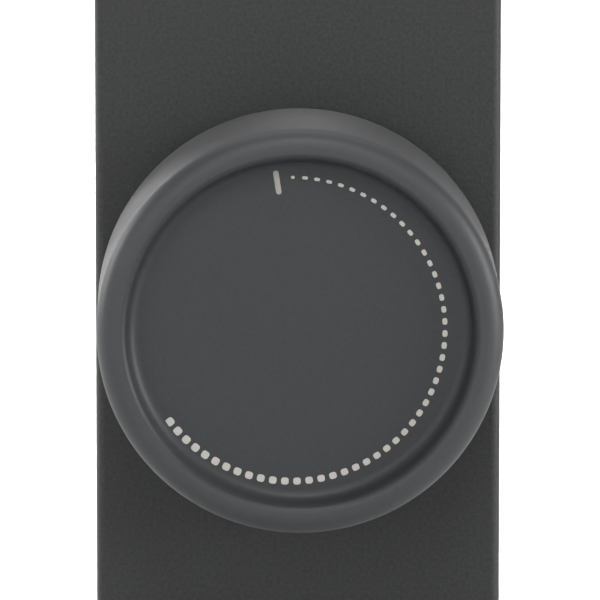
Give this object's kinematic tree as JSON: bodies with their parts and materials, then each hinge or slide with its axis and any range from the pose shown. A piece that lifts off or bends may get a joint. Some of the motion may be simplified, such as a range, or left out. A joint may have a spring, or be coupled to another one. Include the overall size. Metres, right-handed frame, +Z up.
{
  "type": "rotary led dimmer",
  "caption": "Rotary push dimmer for a snap-in wall frame, with a dished round knob on a flat plate, a vented housing behind and rising-cage wire terminals.",
  "frame": {"origin": "on the knob's axis, in the plane where the flange's rear face seats on the wall frame", "axes": "+X to the right seen from the room, +Y into the wall along the knob's axis, +Z up the wall"},
  "size_m": [0.0222, 0.0504, 0.0448],
  "materials": {
    "cover_plastic": "fine moulded grain",
    "knob_plastic": "fine moulded grain",
    "frame_plastic": "moulded",
    "housing_plastic": "moulded",
    "block_plastic": "moulded",
    "mechanism_plastic": "moulded",
    "spring_steel": "drawn",
    "shaft_aluminium": "turned",
    "cast_zinc": "cast",
    "plated_steel": "zinc plated",
    "contact_brass": "rolled",
    "board_laminate": "solder mask",
    "capacitor_sleeve": "shrunk sleeve",
    "capacitor_case": "moulded",
    "ferrite": "sintered",
    "copper_wire": "enamelled",
    "varistor_coating": "dipped",
    "fuse_body": "coated",
    "sink_aluminium": "rolled",
    "component_epoxy": "moulded"
  },
  "bodies": {
    "base": {"front_cover": "cover_plastic", "front_frame": "frame_plastic", "rear_housing": "housing_plastic", "terminal_block": "block_plastic", "pot_case": "mechanism_plastic", "switch_case": "mechanism_plastic", "switch_spring": "spring_steel", "bushing": "cast_zinc", "bushing_washer": "plated_steel", "bushing_nut": "plated_steel", "pot_pins": "contact_brass", "switch_contacts": "contact_brass", "terminal_bar_1": "contact_brass", "terminal_bar_2": "contact_brass", "terminal_bar_3": "contact_brass", "main_board": "board_laminate", "track_wafer": "board_laminate", "large_capacitor": "capacitor_sleeve", "film_capacitor": "capacitor_case", "choke_core": "ferrite", "choke_winding": "copper_wire", "varistor": "varistor_coating", "fuse": "fuse_body", "heat_sink": "sink_aluminium", "transistor_left": "component_epoxy", "transistor_right": "component_epoxy", "controller_chip": "component_epoxy"},
    "push_slider": {"switch_plunger": "mechanism_plastic", "switch_bridge": "contact_brass"},
    "knob": {"knob": "knob_plastic", "knob_clip": "spring_steel", "control_shaft": "shaft_aluminium"},
    "rotor": {"pot_rotor": "mechanism_plastic", "wiper": "contact_brass"},
    "screw_1": {"terminal_screw_1": "plated_steel"},
    "cage_1": {"terminal_cage_1": "plated_steel"},
    "screw_2": {"terminal_screw_2": "plated_steel"},
    "cage_2": {"terminal_cage_2": "plated_steel"},
    "screw_3": {"terminal_screw_3": "plated_steel"},
    "cage_3": {"terminal_cage_3": "plated_steel"}
  },
  "joints": [
    {"name": "knob_push", "type": "slide", "parent": "base", "child": "push_slider", "axis": [0, 1, 0], "range_m": [0, 0.0015], "stiffness_N_per_m": 1500, "springref_m": -0.0015, "deforming": ["switch_spring"]},
    {"name": "knob_turn", "type": "hinge", "parent": "push_slider", "child": "knob", "pos_m": [0, 0, 0], "axis": [0, 1, 0], "range_deg": [-141.5, 158.5]},
    {"name": "rotor_turn", "type": "hinge", "parent": "base", "child": "rotor", "pos_m": [0, 0, 0], "axis": [0, 1, 0], "range_deg": [-141.5, 158.5]},
    {"name": "screw_turn_1", "type": "hinge", "parent": "base", "child": "screw_1", "pos_m": [-0.0063, 0.0255, 0], "axis": [0, 0, 1], "range_deg": [0, 1728]},
    {"name": "cage_lift_1", "type": "slide", "parent": "base", "child": "cage_1", "axis": [0, 0, -1], "range_m": [0, 0.0024]},
    {"name": "screw_turn_2", "type": "hinge", "parent": "base", "child": "screw_2", "pos_m": [0, 0.0255, 0], "axis": [0, 0, 1], "range_deg": [0, 1728]},
    {"name": "cage_lift_2", "type": "slide", "parent": "base", "child": "cage_2", "axis": [0, 0, -1], "range_m": [0, 0.0024]},
    {"name": "screw_turn_3", "type": "hinge", "parent": "base", "child": "screw_3", "pos_m": [0.0063, 0.0255, 0], "axis": [0, 0, 1], "range_deg": [0, 1728]},
    {"name": "cage_lift_3", "type": "slide", "parent": "base", "child": "cage_3", "axis": [0, 0, -1], "range_m": [0, 0.0024]}
  ],
  "couplings": [
    {"joint": "rotor_turn", "follows": "knob_turn", "ratio": 1},
    {"joint": "screw_turn_1", "follows": "cage_lift_1", "rad_per_m": 12566},
    {"joint": "screw_turn_2", "follows": "cage_lift_2", "rad_per_m": 12566},
    {"joint": "screw_turn_3", "follows": "cage_lift_3", "rad_per_m": 12566}
  ]
}
